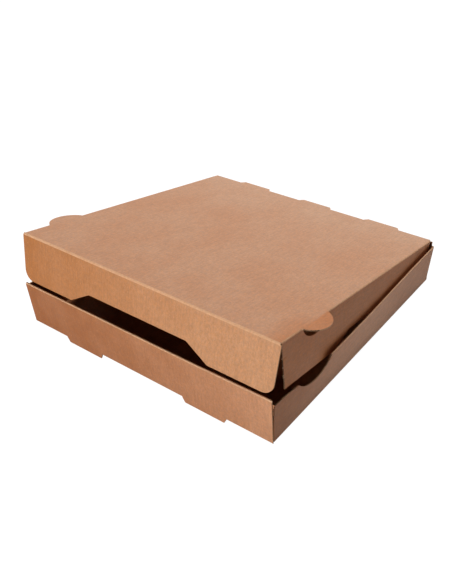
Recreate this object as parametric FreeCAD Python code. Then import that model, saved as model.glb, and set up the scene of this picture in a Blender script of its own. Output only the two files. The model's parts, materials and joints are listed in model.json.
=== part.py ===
"""A kraft board pizza box, die-cut and folded from one sheet, with its lid a little open.

Each panel is drawn with the lid closed, in a frame on the tray: X to the right seen from the
front, Y from the front wall to the back wall, Z up from the underside of the bottom. The lid
and its front flap are then turned to the angles at which they rest, and the whole box is laid
on its two feet and its back edge.
"""
import FreeCAD, Part
import math
import os
from FreeCAD import Vector

# The board and its folds, mm
BOARD = 1.0               # board thickness
FOLD_INSIDE = 0.3         # inside radius of a square fold
CREASE_GAP = 0.3          # space at a crease that turns
SLIP = 0.1                # space between boards that lie against each other

# The tray
WIDTH = 260.0             # outside, along the front wall
DEPTH = 260.0             # outside, front wall to back wall
FRONT_HEIGHT = 40.0       # to the top of the rolled front wall
SIDE_HEIGHT = 36.5        # to the cut edge of a side wall
BACK_HEIGHT = 41.0        # to the top face of the closed lid
SIDE_FLARE = 1.5          # degrees that a side wall leans outward
WALL_END_INSET = 0.3      # how far the front and back walls stop short of the sides, at the bottom
WALL_END_TAPER = 1.8      # how much further they stop short at the top
ROLL_GAP = 0.2            # between the two layers at the top of the rolled front wall
ROLL_LEAN = 2.9           # degrees that the inner layer leans away from the outer one
ROLL_INSET = 8.0          # how far the inner layer stops short of the sides
CORNER_FLAP = 55.0        # length of the four flaps tucked behind the front and back walls
CORNER_FLAP_LOW = 18.0    # height of a corner flap under the rolled layer
CORNER_FLAP_DROP = 4.0    # how much lower its free end is
CORNER_FLAP_SHOULDER = 2.5  # from the side to where its sloping edge starts
CORNER_FLAP_STEP = 8.5    # from the side to where the edge has come down

# The feet, tongues that stay in the front wall's plane where the two lock slots are cut
FOOT_SPACING = 132.0
FOOT_LENGTH = 43.0
FOOT_TAPER = 2.2          # at each end
FOOT_DEPTH = 4.5
LOCK_TAB_INSET = 3.5      # how much shorter a lock tab is than its slot, at each end
LOCK_TAB_REACH = 0.8      # how far a lock tab comes out under the bottom

# The round finger notch in each side wall, under the ear
NOTCH_LENGTH = 48.0
NOTCH_DEPTH = 11.7

# The lid
LID_OPEN = 9.25           # degrees, as it rests
SIDE_FLAP_LEAN = 3.0      # degrees outward from square to the lid
SIDE_FLAP_GAP = 0.3       # between a side flap's lower edge and the side wall, lid closed
SIDE_FLAP_TAPER = 8.0     # how much each end of a side flap comes in at its lower edge
SIDE_FLAP_BACK_GAP = 0.6  # between a side flap and the corner flap behind it
FLAP_FLOOR_GAP = 0.8      # between the flaps' lower edges and the bottom, lid closed
CUTOUT_DEPTH = 11.2       # of the long cut-outs in the flaps' lower edges
CUTOUT_SLOPE = 20.5       # length of each sloping end of a cut-out
FRONT_LEG = 56.5          # length of the front flap's ends beside its cut-out
SIDE_LEG = 75.0           # length of a side flap's ends beside its cut-out
EAR_LENGTH = 34.0         # of the round finger ears at the lid's sides
EAR_REACH = 11.0
EAR_DROOP = 3.5           # degrees that an ear bends down from the lid's plane
EAR_FROM_FRONT = 43.1     # from the lid's front edge to an ear's middle
HINGE_TABS = 3            # tabs cut from the back wall that stay in the lid's plane
HINGE_TAB_SPACING = 74.5
HINGE_TAB_LENGTH = 38.0
HINGE_TAB_TAPER = 3.3     # at each end
HINGE_TAB_REACH = 5.3     # behind the crease
HINGE_TAB_GAP = 0.4       # round a tab in its notch in the back wall

# The lid's front flap
FLAP_LEAN = 6.5           # degrees outward from square to the lid, as it rests
FLAP_SWING_ROOM = 1.6     # behind the rolled wall, for the flap's lower edge to swing past it
FLAP_OVERHANG = 0.6       # how far it is wider than the lid, at each end
FLAP_CORNER = 9.0         # radius of its lower corners

# Places that several panels share
half_board = BOARD / 2
fold = BOARD + FOLD_INSIDE
half_width = WIDTH / 2
wall_end_low = half_width - WALL_END_INSET
wall_end_high = wall_end_low - WALL_END_TAPER
tuck_front = BOARD + SLIP
tuck_back = DEPTH - BOARD - SLIP
slot_end = BOARD + FOOT_DEPTH

roll_end = half_width - ROLL_INSET
roll_lean = math.radians(ROLL_LEAN)
roll_radius = (ROLL_GAP + BOARD) / 2
roll_middle_z = FRONT_HEIGHT - roll_radius - half_board
roll_start_y = half_board + roll_radius * (1 + math.cos(roll_lean))
roll_start_z = roll_middle_z + roll_radius * math.sin(roll_lean)
roll_foot_z = BOARD + SLIP
roll_foot_y = roll_start_y + (roll_start_z - roll_foot_z) * math.tan(roll_lean)
roll_inner_face = roll_foot_y + half_board / math.cos(roll_lean)

hinge_y = DEPTH - half_board
hinge_z = BACK_HEIGHT - half_board
flap_foot_z = BOARD + FLAP_FLOOR_GAP
side_flap_rise = BACK_HEIGHT - fold - flap_foot_z
side_flap_out = side_flap_rise * math.tan(math.radians(SIDE_FLAP_LEAN))
half_lid = half_width - BOARD - SIDE_FLAP_GAP - side_flap_out
lean = math.radians(FLAP_LEAN)
flap_reach = (hinge_z - flap_foot_z - half_board * math.sin(lean)) / math.cos(lean)
flap_out = half_board * math.cos(lean) + flap_reach * math.sin(lean)
crease_y = roll_inner_face + FLAP_SWING_ROOM + flap_out
side_flap_front = crease_y + half_board + CREASE_GAP
side_flap_back = tuck_back - BOARD - SIDE_FLAP_BACK_GAP
ear_middle = crease_y - half_board + EAR_FROM_FRONT
past = 3.0                # how far a cutting shape runs past what it cuts


def plane_xy(z):
    """Places a drawing in the level plane at height z."""
    return lambda x, y: Vector(x, y, z)


def plane_xz(y):
    """Places a drawing in the plane across the box at y."""
    return lambda x, z: Vector(x, y, z)


def plane_yz(x):
    """Places a drawing in the plane along the box at x."""
    return lambda y, z: Vector(x, y, z)


def prism(place, outline, along):
    """A flat outline, placed in space and drawn out along a vector."""
    corners = [place(*point) for point in outline]
    return Part.Face(Part.makePolygon(corners + corners[:1])).extrude(along)


def block(low, high):
    """A box between two opposite corners."""
    size = Vector(*high) - Vector(*low)
    return Part.makeBox(size.x, size.y, size.z, Vector(*low))


def tongue(middle, half, taper, root, tip):
    """Outline of a tongue with sloping ends, and of the strip behind its root."""
    behind = root - math.copysign(past, tip - root)
    return [(middle - half, behind), (middle + half, behind), (middle + half, root),
            (middle + half - taper, tip), (middle - half + taper, tip), (middle - half, root)]


def folded_sheet(place, start, heading, steps, along):
    """A sheet folded along parallel lines: its section follows the steps, then is drawn out.

    The section is drawn along the sheet's middle line. A step is a length to run, or a pair of
    the degrees to bend, left turns positive, and the inside radius of the bend.
    """
    u, v = start
    angle = math.radians(heading)
    sides = (-half_board, half_board)
    edges = []

    def face_point(side):
        return place(u - side * math.sin(angle), v + side * math.cos(angle))

    edges.append(Part.makeLine(face_point(-half_board), face_point(half_board)))
    for step in steps:
        if isinstance(step, tuple):
            turn = math.radians(step[0])
            hand = math.copysign(1, turn)
            radius = step[1] + half_board
            centre_u = u - hand * radius * math.sin(angle)
            centre_v = v + hand * radius * math.cos(angle)
            for side in sides:
                reach = radius - hand * side
                rays = [angle - hand * math.pi / 2 + share * turn for share in (0, 0.5, 1)]
                points = [place(centre_u + reach * math.cos(ray), centre_v + reach * math.sin(ray))
                          for ray in rays]
                edges.append(Part.Arc(*points).toShape())
            angle += turn
            u = centre_u + hand * radius * math.sin(angle)
            v = centre_v - hand * radius * math.cos(angle)
        else:
            begins = [face_point(side) for side in sides]
            u += step * math.cos(angle)
            v += step * math.sin(angle)
            for begin, side in zip(begins, sides):
                edges.append(Part.makeLine(begin, face_point(side)))
    edges.append(Part.makeLine(face_point(-half_board), face_point(half_board)))
    return Part.Face(Part.Wire(Part.sortEdges(edges)[0])).extrude(along)


def scoop_radius(length, depth):
    """Radius of the circle whose chord of this length cuts off an arc of this depth."""
    return (length ** 2 / 4 + depth ** 2) / (2 * depth)


def both_sides(shape):
    """A shape and its mirror image on the other side of the box."""
    return [shape, shape.mirror(Vector(0, 0, 0), Vector(1, 0, 0))]


def joined(first, others):
    """One solid of touching or crossing shapes."""
    return first.fuse(others).removeSplitter()


def foot_middles():
    """Middles of the two feet, and of the lock slots above them."""
    return (-FOOT_SPACING / 2, FOOT_SPACING / 2)


def hinge_tab_middles():
    """Middles of the tabs along the hinge."""
    first = -(HINGE_TABS - 1) / 2
    return [(first + number) * HINGE_TAB_SPACING for number in range(HINGE_TABS)]


def wall_end_cuts(y):
    """What narrows the front or back wall towards its top, at both ends."""
    outline = [(wall_end_low, 0), (wall_end_low + past, 0), (wall_end_low + past, BACK_HEIGHT),
               (wall_end_high, BACK_HEIGHT)]
    return both_sides(prism(plane_xz(y), outline, Vector(0, 2 * past, 0)))


def side_wall():
    """The right side wall, the fold under it, its finger notch and its two corner flaps."""
    run = tuck_back - tuck_front - 2 * fold
    corner_run = CORNER_FLAP - fold
    corner = (90, FOLD_INSIDE)
    rise = SIDE_HEIGHT - fold
    lean_out = Vector(rise * math.tan(math.radians(SIDE_FLARE)), 0, rise)
    start = (half_width - CORNER_FLAP, tuck_front + half_board)
    wall = folded_sheet(plane_xy(fold), start, 0, [corner_run, corner, run, corner, corner_run], lean_out)
    edge = (half_width - fold, half_board)
    under = folded_sheet(plane_xz(tuck_front + fold), edge, 0, [corner], Vector(0, run, 0))

    free_end = half_width - CORNER_FLAP - past
    shoulder = half_width - CORNER_FLAP_SHOULDER
    above = [(free_end, CORNER_FLAP_LOW - CORNER_FLAP_DROP),
             (half_width - CORNER_FLAP_STEP, CORNER_FLAP_LOW),
             (shoulder, SIDE_HEIGHT), (shoulder, SIDE_HEIGHT + past), (free_end, SIDE_HEIGHT + past)]
    layer = Vector(0, BOARD + 2 * SLIP, 0)
    cuts = [prism(plane_xz(y - SLIP), above, layer) for y in (tuck_front, tuck_back - BOARD)]

    radius = scoop_radius(NOTCH_LENGTH, NOTCH_DEPTH)
    middle = Vector(half_width - past, ear_middle, SIDE_HEIGHT - NOTCH_DEPTH + radius)
    cuts.append(Part.makeCylinder(radius, 3 * past, middle, Vector(1, 0, 0)))
    return joined(wall, [under]).cut(cuts)


def front_outer():
    """The front wall's outer layer and the roll along its top."""
    wall = folded_sheet(plane_yz(-wall_end_low), (fold, half_board), 180,
                        [(-90, FOLD_INSIDE), roll_middle_z - fold, (ROLL_LEAN - 180, ROLL_GAP / 2)],
                        Vector(2 * wall_end_low, 0, 0))
    return wall.cut(wall_end_cuts(-past))


def front_inner():
    """The front wall's inner layer, from the roll down to the two lock tabs."""
    length = (roll_start_z + LOCK_TAB_REACH) / math.cos(roll_lean)
    layer = folded_sheet(plane_yz(-roll_end), (roll_start_y, roll_start_z), ROLL_LEAN - 90, [length],
                         Vector(2 * roll_end, 0, 0))
    tab_half = FOOT_LENGTH / 2 - LOCK_TAB_INSET
    stops = [-roll_end]
    for middle in foot_middles():
        stops += [middle - tab_half, middle + tab_half]
    stops.append(roll_end)
    room = [block((left, roll_foot_y - past, -past), (right, roll_foot_y + past, roll_foot_z))
            for left, right in zip(stops[::2], stops[1::2])]
    return layer.cut(room)


def back_wall():
    """The back wall up to the hinge crease, with a notch round each hinge tab."""
    top = hinge_z - half_board - CREASE_GAP
    wall = folded_sheet(plane_yz(-wall_end_low), (DEPTH - fold, half_board), 0,
                        [(90, FOLD_INSIDE), top - fold], Vector(2 * wall_end_low, 0, 0))
    half = HINGE_TAB_LENGTH / 2 + HINGE_TAB_GAP
    tip = hinge_z - HINGE_TAB_REACH - HINGE_TAB_GAP
    notches = [prism(plane_xz(DEPTH - past), tongue(middle, half, HINGE_TAB_TAPER, hinge_z, tip),
                     Vector(0, 2 * past, 0)) for middle in hinge_tab_middles()]
    return wall.cut(notches + wall_end_cuts(DEPTH - past))


def tray():
    """The bottom with its slots and feet, and the four walls."""
    bottom = block((fold - half_width, fold, 0), (half_width - fold, DEPTH - fold, BOARD))
    body = joined(bottom, both_sides(side_wall()) + [back_wall(), front_outer()])
    half = FOOT_LENGTH / 2
    slots = []
    feet = []
    for middle in foot_middles():
        slot = tongue(middle, half, FOOT_TAPER, 0, slot_end)
        slots.append(prism(plane_xy(-past), slot, Vector(0, 0, past + fold)))
        foot = tongue(middle, half, FOOT_TAPER, 0, -FOOT_DEPTH)
        feet.append(prism(plane_xz(0), foot, Vector(0, BOARD, 0)))
    return joined(body.cut(slots), feet + [front_inner()])


def side_flap():
    """The lid's right side flap with its fold, cut-out and ear, lid closed."""
    run = side_flap_back - side_flap_front
    top = BACK_HEIGHT - fold
    strip = [(half_lid - BOARD, side_flap_front), (half_lid, side_flap_front),
             (half_lid, side_flap_back), (half_lid - BOARD, side_flap_back)]
    flap = prism(plane_xy(top), strip, Vector(side_flap_out, 0, -side_flap_rise))
    edge = (half_lid - fold, hinge_z)
    bend = folded_sheet(plane_xz(side_flap_front), edge, 0, [(-90, FOLD_INSIDE)], Vector(0, run, 0))

    below = flap_foot_z - past
    slope = SIDE_FLAP_TAPER / side_flap_rise * (side_flap_rise + past)
    ends = [[(side_flap_front, top), (side_flap_front + slope, below), (side_flap_front - past, below),
             (side_flap_front - past, top)],
            [(side_flap_back, top), (side_flap_back - slope, below), (side_flap_back + past, below),
             (side_flap_back + past, top)]]
    cutout = tongue((side_flap_front + side_flap_back) / 2, run / 2 - SIDE_LEG, CUTOUT_SLOPE,
                    flap_foot_z, flap_foot_z + CUTOUT_DEPTH)
    across = Vector(fold + side_flap_out + past, 0, 0)
    cuts = [prism(plane_yz(half_lid - fold), outline, across) for outline in ends + [cutout]]

    # The ear runs on from the lid's top and leaves its own outline as a hole in the flap
    radius = scoop_radius(EAR_LENGTH, EAR_REACH)
    hole_middle = Vector(half_lid - fold, ear_middle, BACK_HEIGHT - EAR_REACH + radius)
    cuts.append(Part.makeCylinder(radius, across.x, hole_middle, Vector(1, 0, 0)))
    strip = folded_sheet(plane_xz(ear_middle - EAR_LENGTH / 2), edge, 0,
                         [(-EAR_DROOP, FOLD_INSIDE), EAR_REACH + fold + past], Vector(0, EAR_LENGTH, 0))
    disc_middle = Vector(half_lid + EAR_REACH - radius, ear_middle, BACK_HEIGHT - 2 * past)
    ear = strip.common(Part.makeCylinder(radius, 3 * past, disc_middle))
    return joined(joined(flap, [bend]).cut(cuts), [ear])


def lid():
    """The lid's top panel with its side flaps, ears and hinge tabs, closed."""
    half_panel = half_lid - fold
    under = BACK_HEIGHT - BOARD
    panel = block((-half_panel, crease_y, under), (half_panel, hinge_y, BACK_HEIGHT))
    noses = [Part.makeCylinder(half_board, 2 * half_panel, Vector(-half_panel, y, hinge_z), Vector(1, 0, 0))
             for y in (crease_y, hinge_y)]
    tabs = [prism(plane_xy(under), tongue(middle, HINGE_TAB_LENGTH / 2, HINGE_TAB_TAPER, hinge_y,
                                          hinge_y + HINGE_TAB_REACH), Vector(0, 0, BOARD))
            for middle in hinge_tab_middles()]
    return joined(panel, noses + tabs + both_sides(side_flap()))


def front_flap():
    """The lid's front flap, square to the closed lid."""
    half = half_lid + FLAP_OVERHANG
    foot = hinge_z - flap_reach
    flap = block((-half, crease_y - half_board, foot),
                 (half, crease_y + half_board, hinge_z - half_board - CREASE_GAP))
    corners = [edge for edge in flap.Edges
               if edge.BoundBox.YLength > half_board and edge.CenterOfMass.z < foot + half_board]
    flap = flap.makeFillet(FLAP_CORNER, corners)
    cutout = tongue(0, half - FRONT_LEG, CUTOUT_SLOPE, foot, foot + CUTOUT_DEPTH)
    return flap.cut(prism(plane_xz(crease_y - past), cutout, Vector(0, 2 * past, 0)))


def turn(shape, y, z, degrees):
    """Turns a shape about the line across the box at y and z, so that its front rises."""
    shape.rotate(Vector(0, y, z), Vector(-1, 0, 0), degrees)


def resting_tilt():
    """Degrees that the box leans back between its feet and the round fold under its back wall."""
    span = DEPTH - fold - BOARD
    rise = fold + FOOT_DEPTH
    return math.degrees(math.atan2(rise, span) - math.asin(fold / math.hypot(rise, span)))


def resting_box():
    """The three folded pieces as they rest, with the origin under the middle of the whole."""
    pieces = {"tray": tray(), "lid": lid(), "front_flap": front_flap()}
    turn(pieces["front_flap"], crease_y, hinge_z, FLAP_LEAN)
    for name in ("lid", "front_flap"):
        turn(pieces[name], hinge_y, hinge_z, LID_OPEN)
    whole = FreeCAD.BoundBox()
    for shape in pieces.values():
        turn(shape, 0, 0, resting_tilt())
        whole.add(shape.BoundBox)
    origin = Vector(whole.Center.x, whole.Center.y, whole.ZMin)
    for shape in pieces.values():
        shape.translate(-origin)
    return pieces, origin


pieces, origin = resting_box()
os.makedirs("parts", exist_ok=True)
for name, shape in pieces.items():
    shape.exportStep(f"parts/{name}.step")
    box = shape.BoundBox
    print(name, "valid", shape.isValid(), "solids", len(shape.Solids), "volume", round(shape.Volume, 1),
          "box", [round(value, 2) for value in (box.XMin, box.XMax, box.YMin, box.YMax, box.ZMin, box.ZMax)])
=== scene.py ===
import json
import math

import bmesh
import bpy
from mathutils import Matrix, Vector, noise
from mathutils.bvhtree import BVHTree


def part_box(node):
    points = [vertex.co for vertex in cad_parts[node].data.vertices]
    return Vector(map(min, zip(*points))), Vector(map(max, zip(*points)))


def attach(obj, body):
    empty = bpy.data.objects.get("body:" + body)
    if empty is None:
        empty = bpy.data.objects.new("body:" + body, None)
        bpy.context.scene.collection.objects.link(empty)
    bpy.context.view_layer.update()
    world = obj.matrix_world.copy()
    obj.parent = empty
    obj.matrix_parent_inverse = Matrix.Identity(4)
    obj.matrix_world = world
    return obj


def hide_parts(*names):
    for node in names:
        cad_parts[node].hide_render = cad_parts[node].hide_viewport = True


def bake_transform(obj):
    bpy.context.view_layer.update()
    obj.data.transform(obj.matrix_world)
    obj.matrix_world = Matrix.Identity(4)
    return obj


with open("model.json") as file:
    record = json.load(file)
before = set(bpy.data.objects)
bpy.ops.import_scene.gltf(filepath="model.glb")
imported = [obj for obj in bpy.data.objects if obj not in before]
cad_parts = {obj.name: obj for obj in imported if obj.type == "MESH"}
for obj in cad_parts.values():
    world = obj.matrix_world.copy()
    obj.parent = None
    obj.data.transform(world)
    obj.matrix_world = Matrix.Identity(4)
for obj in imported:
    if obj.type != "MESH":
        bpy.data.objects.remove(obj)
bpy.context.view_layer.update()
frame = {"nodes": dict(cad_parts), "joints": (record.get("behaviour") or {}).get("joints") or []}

# The box in millimetres, as its panels lie when the lid is closed and the bottom is level:
# x to the right from the middle, y from the front wall's face to the back, z up from the bottom
MM = 0.001
BOARD = 1.0
HALF_BOARD = BOARD / 2
FOLD = 1.3                # outside radius of a square fold
WIDTH = 260.0
HALF_WIDTH = WIDTH / 2
DEPTH = 260.0
SIDE_HEIGHT = 36.5
FRONT_HEIGHT = 40.0
BACK_HEIGHT = 41.0
ROLL_FOLD = 1.1           # outside radius of the front wall's rolled top
ROLL_BACK = 3.6           # y behind the rolled wall's inner layer
OUTER_LAYER = 1.1         # y within which only the front wall's outer layer lies
HINGE_Y = DEPTH - HALF_BOARD
HINGE_Z = BACK_HEIGHT - HALF_BOARD
REST_TILT = 1.0004        # degrees that the box leans back on its feet
LID_OPEN = 9.25
FLAP_LEAN = 6.5
FLAP_DROP = 38.5          # of the front flap, from its crease to its lower edge
FLAP_OVERHANG = 0.6       # of the front flap past the lid, at each end
HINGE_TAB_SPACING = 74.5
HINGE_TAB_HALF = 19.0
HINGE_TAB_ROOM = 0.5      # beside a tab, kept free of the crease's strip
EAR_MIDDLE = 53.2         # y of the ears and the finger notches
EAR_HALF = 17.0
NOTCH_DEPTH = 11.7        # of the finger notches in the side walls
SIDE_FLAP_FRONT = 11.4    # y of the lid's side flaps, where their front edges start
SIDE_FLAP_TAPER = 8.0     # that these edges run back by down to their feet
SIDE_FLAP_LEAN = 3.0      # degrees that these flaps lean out
SIDE_FLAP_RISE = 37.9     # of these flaps, from their feet to their folds

# How real board departs from flat, mm
WALL_BOW = 2.6            # of the side walls' upper edges, outward
BOW_SHIFT = 0.65          # under 1 puts the bow's middle nearer the front
BOW_START = 2.5           # from the front and back faces to the bow's ends
WALL_BAND = 2.6           # from the side faces inward, takes in a side wall
FLAP_BOW = 1.2            # of the lid's side flaps, outward between their folds and their feet
FLAP_BOW_LOW = 0.8        # z at which that bow ends
FLAP_BOW_INSET = (6.0, 4.0)  # from the lid's front crease and its hinge to that bow's ends
SIDE_FLARE = 1.5          # degrees that the side walls lean out, and are held upright at the front corners
LEFT_FLARE = 3.2          # and so many at the left front corner, which stands inward
CORNER_REACH = 40.0       # along a side wall from its front corner to its full lean
END_BAND = 3.4            # of the front wall at each end, which moves with the end
END_STRETCH = 0.9         # of the front wall's right end, at its top
END_INSET = 2.3           # of its left end
END_FOOT = 0.4            # share of these two moves at the wall's foot
RIM_LIFT = 0.9            # of the front wall's upper fold
RIGHT_LIFT = 1.0          # and so much more at its right end
RIGHT_LIFT_START = 60.0   # x from which it rises there
NOTCH_PULL = 6.0          # of the finger notches' rear flanks, towards the front
NOTCH_PULL_REACH = 60.0   # behind a notch's middle, to where that ends
PANEL_WAVE = 0.3          # of the lid's top
FLAP_WAVE = 0.25          # of the front flap
WAVE_LENGTH = 85.0

# Fine corrugated board
FLUTE_PITCH = 2.0
FLUTE_RISE = 0.3          # of the waved sheet to each side of the middle
GRID = 10.0               # spacing of the cuts that let the panels bend
LOW_GRID = 6.0            # and of those across the low walls
FADE = 0.6                # from a fold to the cut that ends its wear
CREASE_CUT = 1.6          # and from the front flap's crease
FLAT_DEGREES = 32         # between faces that shade as one

joints = {joint["name"]: joint for joint in frame["joints"]}
hinge = Vector(joints["lid_hinge"]["pos_m"])
crease = Vector(joints["front_flap_fold"]["pos_m"])
half_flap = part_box("front_flap")[1].x / MM
half_lid = half_flap - FLAP_OVERHANG


def panel_frame(pivot, degrees, place):
    """Turns the resting box about a crease, so that a body's panels lie square, in mm."""
    turn = Matrix.Rotation(math.radians(degrees), 4, "X")
    return Matrix.Translation(place) @ turn @ Matrix.Scale(1 / MM, 4) @ Matrix.Translation(-pivot)


hinge_place = Vector((0, HINGE_Y, HINGE_Z))
tray_frame = panel_frame(hinge, REST_TILT, hinge_place)
lid_frame = panel_frame(hinge, REST_TILT + LID_OPEN, hinge_place)
crease_place = lid_frame @ crease
flap_frame = panel_frame(crease, REST_TILT + LID_OPEN + FLAP_LEAN, crease_place)
crease_y = crease_place.y


def ramp(value, low, high):
    """Rises evenly from 0 at one place to 1 at the other, and stays level past them."""
    return min(1.0, max(0.0, (value - low) / (high - low)))


def swell(value, low, high):
    """Rises from 0 at both ends to 1 in the middle."""
    return math.sin(math.pi * ramp(value, low, high))


# Materials

WHITE = (1.0, 1.0, 1.0, 1.0)
WARM_TINT = (1.02, 0.985, 0.91, 1.0)
COOL_TINT = (0.98, 1.015, 1.10, 1.0)
SHEEN_TINT = (1.0, 0.72, 0.55, 1.0)
FLECK = (112, 72, 44)
PALE_FIBRE = (226, 186, 146)
WORN_FOLD = (236, 194, 154)
EDGE_PALE = (216, 176, 140)
EDGE_DARK = (184, 138, 102)
FLUTE_HOLLOW_SHADE = (72, 46, 30)

# Noise on the board's map: its stretch across and along the flutes, scale, detail, roughness and seed
PATTERNS = {
    "clouds": (1.0, 0.8, 0.025, 5.0, 0.55, 3.1),
    "tints": (1.0, 0.9, 0.42, 3.0, 0.7, 41.0),
    "flute_ridges": (1.0, 0.10, 0.55, 2.0, 0.55, 7.7),
    "fibres": (1.0, 0.6, 0.55, 5.0, 0.85, 1.3),
    "mottle": (0.8, 1.0, 0.16, 3.0, 0.55, 31.0),
    "flecks": (1.0, 0.5, 1.5, 2.0, 0.55, 11.9),
    "pale fibres": (0.5, 1.0, 1.1, 2.0, 0.55, 17.3),
    "wear": (1.0, 1.0, 0.5, 4.0, 0.55, 23.0),
    "fuzz": (1.0, 2.0, 1.4, 4.0, 0.55, 5.0),
}


def kraft_colour(red, green, blue):
    """An sRGB colour of 0 to 255 as the linear colour that a shader takes."""
    def linear(value):
        share = value / 255
        return share / 12.92 if share <= 0.04045 else ((share + 0.055) / 1.055) ** 2.4
    return (linear(red), linear(green), linear(blue), 1.0)


class Shader:
    """Short ways to add and join the nodes of a material or of the world."""

    def __init__(self, owner):
        owner.use_nodes = True
        self.nodes = owner.node_tree.nodes
        self.links = owner.node_tree.links
        self.nodes.clear()

    def add(self, kind, settings=None, **inputs):
        node = self.nodes.new("ShaderNode" + kind)
        for key, value in (settings or {}).items():
            setattr(node, key, value)
        for key, value in inputs.items():
            self.put(node, key.replace("_", " "), value)
        return node

    def put(self, node, socket, value):
        target = node.inputs[int(socket)] if socket.isdigit() else node.inputs[socket]
        if isinstance(value, bpy.types.NodeSocket):
            self.links.new(value, target)
        else:
            target.default_value = value

    def math(self, operation, first, second=0.0, clamp=False):
        node = self.add("Math", {"operation": operation, "use_clamp": clamp})
        self.put(node, "0", first)
        self.put(node, "1", second)
        return node.outputs[0]

    def span(self, value, low, high, to_low=0.0, to_high=1.0, curve="SMOOTHSTEP"):
        node = self.add("MapRange", {"interpolation_type": curve})
        for socket, setting in zip("01234", (value, low, high, to_low, to_high)):
            self.put(node, socket, setting)
        return node.outputs[0]

    def mix(self, share, first, second, blend="MIX"):
        node = self.add("Mix", {"data_type": "RGBA", "blend_type": blend})
        self.put(node, "0", share)
        self.put(node, "6", first)
        self.put(node, "7", second)
        return node.outputs[2]

    def attribute(self, name):
        return self.add("Attribute", {"attribute_name": name}).outputs["Fac"]

    def board_map(self):
        return self.add("UVMap", {"uv_map": "board"}).outputs[0]

    def noise(self, name):
        """One of the patterns on the board's map, as it comes from the noise."""
        across, along, scale, detail, rough, seed = PATTERNS[name]
        mapping = self.add("Mapping", Vector=self.board_map(), Location=(seed, seed * 1.7, 0),
                           Scale=(across, along, 1))
        pattern = self.add("TexNoise", {"noise_dimensions": "2D"}, Vector=mapping.outputs[0], Scale=scale,
                           Detail=detail, Roughness=rough)
        return pattern.outputs[0]

    def grain(self, pattern, low=0.0, high=1.0):
        """A pattern, spread between two values."""
        return self.span(pattern, 0.3, 0.7, low, high)

    def seen_directly(self):
        """1 where the camera or a reflection meets this surface, 0 for its light on the object."""
        path = self.add("LightPath").outputs
        return self.math("MAXIMUM", path["Is Camera Ray"], path["Is Glossy Ray"])

    def end_in_mix(self, output, share, first, second):
        both = self.add("MixShader")
        for socket, value in zip("012", (share, first.outputs[0], second.outputs[0])):
            self.put(both, socket, value)
        self.add(output, Surface=both.outputs[0])


def board_material(name, painted_sheen, sheen_free, gloss):
    """Uncoated kraft liner: clouds, tints, fibres, flecks and paler worn folds, with painted shade along the
    flutes' ridges, and a paler colour of painted sheen and light mixed with a deeper colour by a per-point
    share.
    """
    material = bpy.data.materials.new(name)
    s = Shader(material)
    fibres = s.noise("fibres")
    flute_ridges = s.noise("flute_ridges")
    # share of the deeper colour; where it is low, the paler colour is painted sheen and light, and the clouds
    # are the liner's own uneven tone
    sheen_free_and_clouds = s.math("ADD", s.attribute("sheen_free"), s.grain(s.noise("clouds"), -0.09, 0.09), clamp=True)
    base = s.mix(sheen_free_and_clouds, kraft_colour(*painted_sheen), kraft_colour(*sheen_free))
    base = s.mix(1.0, base, s.mix(s.grain(s.noise("tints")), WARM_TINT, COOL_TINT), "MULTIPLY")
    # painted shade along the flutes' ridges, with the grain of the fibres and mottle
    ridge_shade_and_grain = s.math("ADD", s.grain(flute_ridges, 0.96, 1.04), s.grain(fibres, -0.13, 0.13))
    ridge_shade_and_grain = s.math("ADD", ridge_shade_and_grain, s.grain(s.noise("mottle"), -0.03, 0.03))
    grey = s.add("CombineColor", Red=ridge_shade_and_grain, Green=ridge_shade_and_grain, Blue=ridge_shade_and_grain).outputs[0]
    base = s.mix(1.0, base, grey, "MULTIPLY")
    base = s.mix(s.span(s.noise("flecks"), 0.70, 0.76, 0.0, 0.45), base, kraft_colour(*FLECK))
    base = s.mix(s.span(s.noise("pale fibres"), 0.70, 0.78, 0.0, 0.35), base, kraft_colour(*PALE_FIBRE))
    worn = s.math("MULTIPLY", s.attribute("worn"), s.grain(s.noise("wear"), 0.45, 1.0))
    base = s.mix(s.math("MULTIPLY", worn, 0.9), base, kraft_colour(*WORN_FOLD))
    height = s.math("ADD", s.math("MULTIPLY", fibres, 0.6), s.math("MULTIPLY", flute_ridges, 0.5))
    bump = s.add("Bump", Strength=0.4, Distance=0.00012, Height=height)
    shader = s.add("BsdfPrincipled", Base_Color=base, Roughness=s.span(fibres, 0.2, 0.8, 0.50, 0.68),
                   Normal=bump.outputs[0], Specular_IOR_Level=gloss, Specular_Tint=SHEEN_TINT)
    s.add("OutputMaterial", Surface=shader.outputs[0])
    return material


def edge_material(name):
    """The cut edge: two liners, and where it crosses the flutes, the waved sheet between them, with painted
    shade in the hollows beside that sheet.
    """
    material = bpy.data.materials.new(name)
    s = Shader(material)
    along, across = s.add("SeparateXYZ", Vector=s.board_map()).outputs[:2]
    turn = s.math("MULTIPLY", along, 2 * math.pi / FLUTE_PITCH)
    wave_height = s.math("MULTIPLY", s.math("SINE", turn), FLUTE_RISE)
    off_wave = s.math("ABSOLUTE", s.math("SUBTRACT", across, wave_height))
    paper = s.math("MAXIMUM", s.span(off_wave, 0.07, 0.16, 1.0, 0.0),
                   s.span(s.math("ABSOLUTE", across), 0.30, 0.38))
    hollow = s.math("MULTIPLY", s.math("SUBTRACT", 1.0, paper), s.attribute("crosses"))
    fuzz = s.noise("fuzz")
    base = s.mix(s.grain(fuzz), kraft_colour(*EDGE_PALE), kraft_colour(*EDGE_DARK))
    # painted shade in the flutes' hollows
    base = s.mix(s.math("MULTIPLY", hollow, 0.8), base, kraft_colour(*FLUTE_HOLLOW_SHADE))
    bump = s.add("Bump", Strength=0.6, Distance=0.0002, Height=s.math("SUBTRACT", fuzz, hollow))
    shader = s.add("BsdfPrincipled", Base_Color=base, Roughness=0.9, Normal=bump.outputs[0],
                   Specular_IOR_Level=0.2)
    s.add("OutputMaterial", Surface=shader.outputs[0])
    return material


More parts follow.
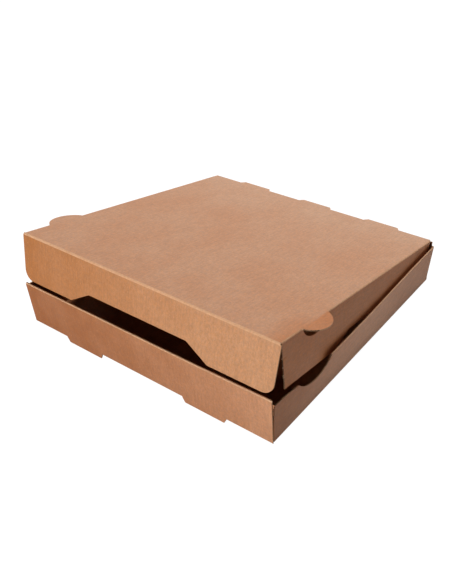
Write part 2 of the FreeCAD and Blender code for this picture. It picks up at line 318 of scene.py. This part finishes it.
# each board's paler colour is painted sheen and light, its deeper colour the liner without them; the lid's
# paler colour holds more painted sheen than the front flap's, though they are one sheet
tray_board = board_material("kraft_tray_board", (198, 142, 105), (151, 86, 37), 0.4)
lid_board = board_material("kraft_lid_board", (200, 155, 124), (184, 115, 68), 0.45)
flap_board = board_material("kraft_flap_board", (202, 147, 106), (175, 110, 58), 0.4)
cut_edge = edge_material("kraft_cut_edge")


# Board meshes

AXES = (Vector((1, 0, 0)), Vector((0, 1, 0)), Vector((0, 0, 1)))
NEAR = 1.35               # the board's thickness with a little room, mm
INSIDE = 0.2              # how far under a face a probe starts, mm


def main_axis(vector):
    """0, 1 or 2: the axis that a vector follows most."""
    return max(range(3), key=lambda axis: abs(vector[axis]))


def thickness_axis(tree, face):
    """The axis across the sheet that a face belongs to, and whether the face is a cut edge."""
    centre = face.calc_center_median()
    normal = face.normal
    hit = tree.ray_cast(centre - normal * 0.01, -normal)
    if hit[0] is not None and hit[3] < NEAR:
        return main_axis(normal), False
    probe = centre - normal * INSIDE
    for axis in range(3):
        if axis == main_axis(normal):
            continue
        ahead = tree.ray_cast(probe, AXES[axis])
        behind = tree.ray_cast(probe, -AXES[axis])
        if ahead[0] is not None and behind[0] is not None and ahead[3] + behind[3] < NEAR + INSIDE:
            return axis, True
    return main_axis(normal), True


def map_face(face, axis, is_edge, uv, crosses):
    """Lays the board's map on a face: first across the flutes, then along them, in mm."""
    flutes = 2 if axis == 1 else 1
    if is_edge:
        normal_axis = main_axis(face.normal)
        along = 3 - normal_axis - axis if normal_axis != axis else (axis + 1) % 3
        middle = sum(loop.vert.co[axis] for loop in face.loops) / len(face.loops)
        for loop in face.loops:
            loop[uv].uv = (loop.vert.co[along], loop.vert.co[axis] - middle)
            loop[crosses] = float(abs(face.normal[flutes]) > 0.5)
    else:
        across = 3 - flutes - axis
        for loop in face.loops:
            loop[uv].uv = (loop.vert.co[across], loop.vert.co[flutes])
            loop[crosses] = 0.0


def add_piece(name, bm, to_panel, sharp_degrees, skins):
    """Takes a mesh from its panel's frame back into the scene, as an object with materials."""
    bm.transform(to_panel.inverted())
    mesh = bpy.data.meshes.new(name)
    bm.to_mesh(mesh)
    bm.free()
    if sharp_degrees is not None:
        kept = [index for index, edge in enumerate(mesh.edges) if edge.use_edge_sharp]
        mesh.set_sharp_from_angle(angle=math.radians(sharp_degrees))
        for index in kept:
            mesh.edges[index].use_edge_sharp = True
    for skin in skins:
        mesh.materials.append(skin)
    piece = bpy.data.objects.new(name, mesh)
    bpy.context.scene.collection.objects.link(piece)
    return piece


def board_piece(name, node, to_panel, cuts, folds, sheen_free_share, warp, skin):
    """A finer copy of a node with the board's map, worn folds and the slight bends of real board."""
    bm = bmesh.new()
    bm.from_mesh(frame["nodes"][node].data)
    bm.transform(to_panel)
    bmesh.ops.remove_doubles(bm, verts=bm.verts, dist=0.001)
    bmesh.ops.dissolve_limit(bm, angle_limit=math.radians(0.2), verts=bm.verts, edges=bm.edges)
    for axis, places in enumerate(cuts):
        for place in places:
            geometry = bm.verts[:] + bm.edges[:] + bm.faces[:]
            bmesh.ops.bisect_plane(bm, geom=geometry, dist=0.0005, plane_co=AXES[axis] * place,
                                   plane_no=AXES[axis])
    bmesh.ops.dissolve_degenerate(bm, dist=0.01, edges=bm.edges)
    bmesh.ops.triangulate(bm, faces=bm.faces)
    bm.normal_update()
    tree = BVHTree.FromBMesh(bm)
    uv = bm.loops.layers.uv.new("board")
    crosses = bm.loops.layers.float.new("crosses")
    worn = bm.verts.layers.float.new("worn")
    # share of the deeper colour, against the paler colour of painted sheen and light
    sheen_free = bm.verts.layers.float.new("sheen_free")
    for face in bm.faces:
        axis, is_edge = thickness_axis(tree, face)
        face.material_index = int(is_edge)
        map_face(face, axis, is_edge, uv, crosses)
        face.smooth = True
    for edge in bm.edges:
        if len({face.material_index for face in edge.link_faces}) > 1:
            edge.smooth = False
    for vert in bm.verts:
        vert[worn] = max([fold(vert.co) for fold in folds], default=0.0)
        vert[sheen_free] = sheen_free_share(vert.co)
    for vert in bm.verts:
        vert.co = vert.co + warp(vert.co)
    piece = add_piece(name, bm, to_panel, FLAT_DEGREES, (skin, cut_edge))
    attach(piece, node)
    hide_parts(node)


def steps(low, high, spacing=GRID):
    """Evenly spaced places between two ends, about one spacing apart."""
    count = max(2, round((high - low) / spacing))
    return [low + (high - low) * index / count for index in range(1, count)]


def mirrored(*places):
    return [side * place for place in places for side in (-1, 1)]


# How worn the folds are

WEAR_EDGE = 0.80          # cosine from a fold's middle at which its wear ends
WEAR_FULL = 0.93          # and at which it is full
ROUND_REACH = 1.6         # of the wear about a fold's centre, mm
CREASE_REACH = 0.55       # and about a crease that turns, on the lid
FLAP_CREASE_REACH = 0.6   # and on the front flap


def fold_line(first, second, at_first, at_second, wear, out=None, reach=ROUND_REACH):
    """How worn the board is near a straight fold, whose middle points along out."""
    def share(point):
        beside = abs(point[first]) if first == 0 else point[first]
        across = beside - at_first
        over = point[second] - at_second
        gap = math.hypot(across, over)
        if gap > reach:
            return 0.0
        if out is None:
            return wear
        facing = (across * out[0] + over * out[1]) / (gap * math.hypot(*out))
        return wear * ramp(facing, WEAR_EDGE, WEAR_FULL)
    return share


# How much of the deeper colour the liner takes, from 0 for the paler colour of painted sheen and light to 1
# for none of that

TRAY_SHEEN_FREE = 0.75         # of the tray's bottom, back and inside
SIDE_PAINTED_BOUNCE = 0.7         # painted bounce light: the share that the side walls lose in their middle, towards the paler colour
SIDE_BOUNCE_SPAN = (-20.0, DEPTH + 60.0)  # y between which they lose it
FRONT_BAND = 5.0          # y within which the front wall's layers lie
LID_SHEEN_FREE = 0.36          # of the lid's top at its front; behind that, more painted sheen
LID_SHEEN_RISE = (HINGE_Y + 20, HINGE_Y - 90)  # y over which it rises to that
LID_BAND = 0.5            # that it gains beside its right front corner
BAND_RAMP_Y = (EAR_MIDDLE + 8, EAR_MIDDLE - 12)  # y over which it gains that
BAND_RAMP_X = (-18.0, -4.0)  # and x from the lid's right edge
FACE_SHARE = 0.6          # of a fold's radius, where its lit side begins


def tray_sheen_free(point):
    """Painted light and sheen: the front wall is paler towards its right end, and the side walls in their
    middle, where light bounced from the floor falls.
    """
    if abs(point.x) > HALF_WIDTH - FOLD and point.y > BOARD:
        return TRAY_SHEEN_FREE - SIDE_PAINTED_BOUNCE * swell(point.y, *SIDE_BOUNCE_SPAN) ** 2
    if point.y < FRONT_BAND:
        return ramp(point.x, HALF_WIDTH, -HALF_WIDTH) ** 0.7
    return TRAY_SHEEN_FREE


def lid_sheen_free(point):
    """The lid's top takes the paler colour of painted sheen, more of it towards the back, apart from its
    right ear and a band between that and the front; its side flaps go without it.
    """
    beside = point.x - half_lid
    past_fold = -FOLD * FACE_SHARE
    on_side_flap = abs(point.x) > half_lid + past_fold and point.z < BACK_HEIGHT - BOARD - 0.3
    if beside > past_fold or on_side_flap:
        return 1.0
    band = LID_BAND * ramp(point.y, *BAND_RAMP_Y) * ramp(beside, *BAND_RAMP_X)
    return band + LID_SHEEN_FREE * ramp(point.y, *LID_SHEEN_RISE)


def flap_sheen_free(point):
    """The front flap is paler towards its right end, with painted sheen."""
    return ramp(point.x, half_flap, -half_flap) ** 1.2


# How the panels bend

def wave(point, seed):
    """A slow, smooth unevenness between -1 and 1."""
    return noise.noise(Vector((point.x / WAVE_LENGTH, point.y / WAVE_LENGTH, seed)))


def side_wall_warp(point):
    """A side wall bows outward along its upper edge, its notch is narrower and its front corner upright."""
    move = Vector((0, 0, 0))
    if BOW_START < point.y < DEPTH - BOW_START and point.z > FOLD:
        rise = (point.z - FOLD) / (SIDE_HEIGHT - FOLD)
        along = DEPTH * ((point.y - BOW_START) / (DEPTH - 2 * BOW_START)) ** BOW_SHIFT
        move.x = math.copysign(WALL_BOW * swell(along, 0, DEPTH) ** 1.6 * rise ** 1.3, point.x)
    if point.z > SIDE_HEIGHT - NOTCH_DEPTH:
        rise = (point.z - SIDE_HEIGHT + NOTCH_DEPTH) / NOTCH_DEPTH
        move.y = -NOTCH_PULL * swell(point.y, EAR_MIDDLE, EAR_MIDDLE + NOTCH_PULL_REACH) * rise ** 0.5
    if point.y > OUTER_LAYER:
        held = 1.0 - min(1.0, point.y / CORNER_REACH)
        flare = SIDE_FLARE if point.x > 0 else LEFT_FLARE
        move.x -= math.copysign(math.tan(math.radians(flare)) * point.z * held, point.x)
    return move


def tray_warp(point):
    """The side walls' warp, and the front wall's: a higher upper fold and moved ends."""
    beside = abs(point.x)
    move = side_wall_warp(point) if beside > HALF_WIDTH - WALL_BAND else Vector((0, 0, 0))
    in_outer_layer = point.y < OUTER_LAYER
    if in_outer_layer and beside > HALF_WIDTH - END_BAND:
        shift = END_STRETCH if point.x > 0 else END_INSET
        move.x += shift * (END_FOOT + (1 - END_FOOT) * point.z / FRONT_HEIGHT)
    if in_outer_layer or point.y < ROLL_BACK and beside < HALF_WIDTH - FOLD:
        lift = RIM_LIFT + RIGHT_LIFT * max(0.0, point.x - RIGHT_LIFT_START) / (HALF_WIDTH - RIGHT_LIFT_START)
        move.z = lift * max(0.0, point.z) / FRONT_HEIGHT
    return move


def lid_warp(point):
    """The lid's top is a little uneven away from its folds, and its side flaps bow outward."""
    move = Vector((0, 0, 0))
    inner = half_lid - FOLD
    if point.z > BACK_HEIGHT - BOARD - 0.1 and abs(point.x) < inner:
        calm = swell(point.x, -inner, inner) * swell(point.y, crease_y, HINGE_Y)
        move.z = PANEL_WAVE * calm ** 0.5 * wave(point, 4.2)
    if point.z < BACK_HEIGHT - FOLD and abs(point.x) > half_lid - 2 * FOLD:
        front, back = FLAP_BOW_INSET
        bend = swell(point.y, crease_y + front, HINGE_Y - back) ** 1.2
        bend *= swell(point.z, FLAP_BOW_LOW, BACK_HEIGHT - FOLD)
        move.x = math.copysign(FLAP_BOW * bend, point.x)
    return move


def flap_warp(point):
    """The front flap curls by a hair between its ends."""
    drop = (HINGE_Z - point.z) / FLAP_DROP
    return Vector((0, FLAP_WAVE * drop * wave(point, 9.6), 0))


tray_folds = [
    fold_line(0, 2, HALF_WIDTH - FOLD, FOLD, 0.5, (1, -1)),
    fold_line(1, 2, FOLD, FOLD, 0.5, (-1, -1)),
    fold_line(1, 2, DEPTH - FOLD, FOLD, 0.5, (1, -1)),
    fold_line(1, 2, ROLL_FOLD, FRONT_HEIGHT - ROLL_FOLD, 1.0, (-1, 1)),
]
tray_cuts = (
    steps(-HALF_WIDTH, HALF_WIDTH) + mirrored(HALF_WIDTH - FOLD - FADE),
    steps(0, DEPTH) + [FOLD + FADE, DEPTH - FOLD - FADE],
    [FOLD + FADE] + steps(FOLD, FRONT_HEIGHT, LOW_GRID) + [FRONT_HEIGHT - ROLL_FOLD - FADE],
)
board_piece("tray_board", "tray", tray_frame, tray_cuts, tray_folds, tray_sheen_free, tray_warp, tray_board)

lid_folds = [
    fold_line(0, 2, half_lid - FOLD, BACK_HEIGHT - FOLD, 0.7, (1, 1)),
    fold_line(1, 2, crease_y, HINGE_Z, 0.9, reach=CREASE_REACH),
    fold_line(1, 2, HINGE_Y, HINGE_Z, 0.6, reach=CREASE_REACH),
]
lid_cuts = (
    steps(-half_lid, half_lid) + mirrored(half_lid - FOLD - FADE, half_lid + FADE),
    steps(crease_y, HINGE_Y) + [crease_y + FADE, HINGE_Y - FADE],
    steps(2, BACK_HEIGHT, LOW_GRID) + [BACK_HEIGHT - FOLD - FADE],
)
board_piece("lid_board", "lid", lid_frame, lid_cuts, lid_folds, lid_sheen_free, lid_warp, lid_board)

flap_folds = [fold_line(1, 2, crease_y, HINGE_Z, 0.9, reach=FLAP_CREASE_REACH)]
flap_cuts = (steps(-half_flap, half_flap), [], steps(2, HINGE_Z, LOW_GRID) + [HINGE_Z - CREASE_CUT])
board_piece("front_flap_board", "front_flap", flap_frame, flap_cuts, flap_folds, flap_sheen_free, flap_warp,
            flap_board)


# The two creases that turn: a strip of liner bridges each one on the outside

STRIP = 0.06              # thickness, mm
LIFT = 0.02               # over the board's face, mm
TAIL = 0.3                # of a strip past the crease's round, on the lid, mm
LONG_TAIL = 1.1           # and on the back wall and the front flap
STRIP_WEAR = 0.55
STRIP_DEGREES = 50        # between faces that shade as one
ARC_STEPS = 8


def spoke(degrees):
    """The direction out from a crease at an angle, in the plane across it."""
    angle = math.radians(degrees)
    return Vector((0, math.cos(angle), math.sin(angle)))


def crease_strip(name, to_panel, place, first, last, tails, spans, skin):
    """A bent strip about a crease line: from direction first to direction last, in degrees."""
    bm = bmesh.new()
    worn = bm.verts.layers.float.new("worn")
    uv = bm.loops.layers.uv.new("board")
    stops = [(first, -tails[0])]
    stops += [(first + (last - first) * index / ARC_STEPS, 0) for index in range(ARC_STEPS + 1)]
    stops += [(last, tails[1])]

    def ring(x):
        middle = Vector((x, place.y, place.z))
        inner, outer = [[middle + spoke(angle) * offset + spoke(angle + 90) * slide for angle, slide in stops]
                        for offset in (HALF_BOARD + LIFT, HALF_BOARD + LIFT + STRIP)]
        return [bm.verts.new(point) for point in inner + outer[::-1]]

    for low, high in spans:
        rings = [ring(x) for x in [low] + steps(low, high) + [high]]
        for before, after in zip(rings, rings[1:]):
            for index in range(len(before)):
                other = (index + 1) % len(before)
                bm.faces.new((before[index], before[other], after[other], after[index]))
        bm.faces.new(rings[0][::-1])
        bm.faces.new(rings[-1])
    bmesh.ops.recalc_face_normals(bm, faces=bm.faces)
    for vert in bm.verts:
        vert[worn] = STRIP_WEAR
    for face in bm.faces:
        face.smooth = True
        for loop in face.loops:
            loop[uv].uv = (loop.vert.co.x, loop.vert.co.y + loop.vert.co.z)
    strip = add_piece(name, bm, to_panel, STRIP_DEGREES, (skin,))
    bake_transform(strip)


tab_edge = HINGE_TAB_HALF + HINGE_TAB_ROOM
hinge_spans = [(-half_lid + FOLD, -HINGE_TAB_SPACING - tab_edge), (-HINGE_TAB_SPACING + tab_edge, -tab_edge),
               (tab_edge, HINGE_TAB_SPACING - tab_edge), (HINGE_TAB_SPACING + tab_edge, half_lid - FOLD)]
flap_spans = [(-half_lid + TAIL, half_lid - TAIL)]
crease_strip("hinge_crease", tray_frame, hinge_place, 0, 90 - LID_OPEN, (LONG_TAIL, TAIL), hinge_spans,
             lid_board)
crease_strip("flap_crease", lid_frame, crease_place, 90, 180 - FLAP_LEAN, (TAIL, LONG_TAIL), flap_spans,
             flap_board)


# Torn fibres that stand out from cut edges

FIBRE_RADII = (0.42, 0.36, 0.12)  # at the root, the middle and the tip, mm
FIBRE_FANS = (0.10, 0.22, 0.5)    # between neighbours there, mm
ROOT_DEPTH = 0.35         # of the fibres under the edge, mm
UP = Vector((0, 0, 1))
FORWARD = Vector((0, -1, 0))
SLANTED = Vector((0.8, -1, 0)).normalized()


def fibre_tufts(name, body, to_panel, roots, skin):
    """Small fans of fibres; each root is a point, the way out and a length, in mm."""
    bm = bmesh.new()
    worn = bm.verts.layers.float.new("worn")
    uv = bm.loops.layers.uv.new("board")
    for index, (root, out, length) in enumerate(roots):
        across = out.cross(UP)
        for blade in (-1, 0, 1):
            bend = noise.noise(Vector((index * 3.7, blade * 5.1, 0.5)))
            reach = length * (0.75 + 0.5 * noise.noise(Vector((index * 2.3, blade * 4.9, 8.5))))
            places = ((-ROOT_DEPTH, 0.0), (0.5 * reach, 0.2 * bend), (reach, 0.6 * bend))
            rings = []
            for (ahead, aside), fan, radius in zip(places, FIBRE_FANS, FIBRE_RADII):
                centre = root + out * ahead + UP * (fan * blade) + across * aside
                corners = (UP, across - UP * 0.5, -across - UP * 0.5)
                rings.append([bm.verts.new(centre + corner * radius) for corner in corners])
            for before, after in zip(rings, rings[1:]):
                for side in range(3):
                    other = (side + 1) % 3
                    bm.faces.new((before[side], before[other], after[other], after[side]))
            bm.faces.new(rings[0][::-1])
            bm.faces.new(rings[-1])
    bmesh.ops.recalc_face_normals(bm, faces=bm.faces)
    for vert in bm.verts:
        vert[worn] = 1.0
    for face in bm.faces:
        face.smooth = True
        for loop in face.loops:
            loop[uv].uv = (loop.vert.co.y, loop.vert.co.z)
    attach(add_piece(name, bm, to_panel, None, (skin,)), body)


def side_flap_edge(z):
    """The point at a height on the right side flap's front edge."""
    drop = BACK_HEIGHT - FOLD - z
    out = drop * math.tan(math.radians(SIDE_FLAP_LEAN))
    return Vector((half_lid - HALF_BOARD + out, SIDE_FLAP_FRONT + SIDE_FLAP_TAPER * drop / SIDE_FLAP_RISE, z))


ear_root = Vector((half_lid, EAR_MIDDLE - EAR_HALF, BACK_HEIGHT - HALF_BOARD))
lid_roots = [(side_flap_edge(z), FORWARD, length)
             for z, length in ((12.2, 1.3), (13.8, 1.6), (20.5, 0.9), (28.0, 0.7))]
lid_roots += [(ear_root, SLANTED, 1.1)]
fibre_tufts("lid_fibres", "lid", lid_frame, lid_roots, lid_board)


# Camera, floor and light

# The camera's place and direction, fitted to the corners of the box in the photograph
CAMERA_PLACE = Vector((0.2898, -0.3571, 0.3227))
CAMERA_RIGHT = Vector((0.81249, 0.58257, -0.02181))
CAMERA_UP = Vector((-0.40474, 0.59062, 0.69812))

camera_data = bpy.data.cameras.new("camera")
camera = bpy.data.objects.new("camera", camera_data)
bpy.context.scene.collection.objects.link(camera)
bpy.context.scene.camera = camera
camera_data.sensor_width = 36.0
camera_data.lens = 36.24
camera_data.shift_x = -0.0614
camera_data.shift_y = 0.2014
camera_data.clip_start = 0.02
camera_data.clip_end = 20.0
basis = Matrix((CAMERA_RIGHT, CAMERA_UP, CAMERA_RIGHT.cross(CAMERA_UP))).transposed()
camera.matrix_world = Matrix.Translation(CAMERA_PLACE) @ basis.to_4x4()

WORLD_LOW = 0.01          # light from the horizon
WORLD_HIGH = 0.03         # light from above
FLOOR_HALF = 6.0          # metres
FLOOR_GREY = (0.80, 0.80, 0.80, 1.0)
FLOOR_SHARE = 0.90        # of the glow in what the camera sees of the floor
FLOOR_GLOW = 1.12         # its strength, where 1 is white
LAMPS = [
    ("front_lamp", (-0.14, -1.14, 0.45), 0.5, 9.0),
    ("rear_lamp", (-0.22, 1.2, 1.9), 0.6, 38.0),
]

world = bpy.data.worlds.new("studio")
bpy.context.scene.world = world
s = Shader(world)
height = s.add("SeparateXYZ", Vector=s.add("TexCoord").outputs["Generated"]).outputs[2]
strength = s.span(height, 0.0, 1.0, WORLD_LOW, WORLD_HIGH, curve="LINEAR")
soft = s.add("Background", Color=WHITE, Strength=strength)
plain = s.add("Background", Color=WHITE, Strength=1.0)
s.end_in_mix("OutputWorld", s.seen_directly(), soft, plain)

floor_mesh = bpy.data.meshes.new("floor")
floor_mesh.from_pydata([(-FLOOR_HALF, -FLOOR_HALF, 0), (FLOOR_HALF, -FLOOR_HALF, 0),
                        (FLOOR_HALF, FLOOR_HALF, 0), (-FLOOR_HALF, FLOOR_HALF, 0)], [], [(0, 1, 2, 3)])
floor = bpy.data.objects.new("floor", floor_mesh)
bpy.context.scene.collection.objects.link(floor)
floor_material = bpy.data.materials.new("pale_floor")
s = Shader(floor_material)
matt = s.add("BsdfDiffuse", Color=FLOOR_GREY)
glow = s.add("Emission", Strength=FLOOR_GLOW)
s.end_in_mix("OutputMaterial", s.math("MULTIPLY", s.seen_directly(), FLOOR_SHARE), matt, glow)
floor_mesh.materials.append(floor_material)

for name, place, size, power in LAMPS:
    lamp_data = bpy.data.lights.new(name, "AREA")
    lamp_data.shape = "DISK"
    lamp_data.size = size
    lamp_data.energy = power
    lamp = bpy.data.objects.new(name, lamp_data)
    lamp.location = place
    lamp.rotation_euler = (-Vector(place)).to_track_quat("-Z", "Y").to_euler()
    bpy.context.scene.collection.objects.link(lamp)

bpy.context.scene.view_settings.view_transform = "Standard"
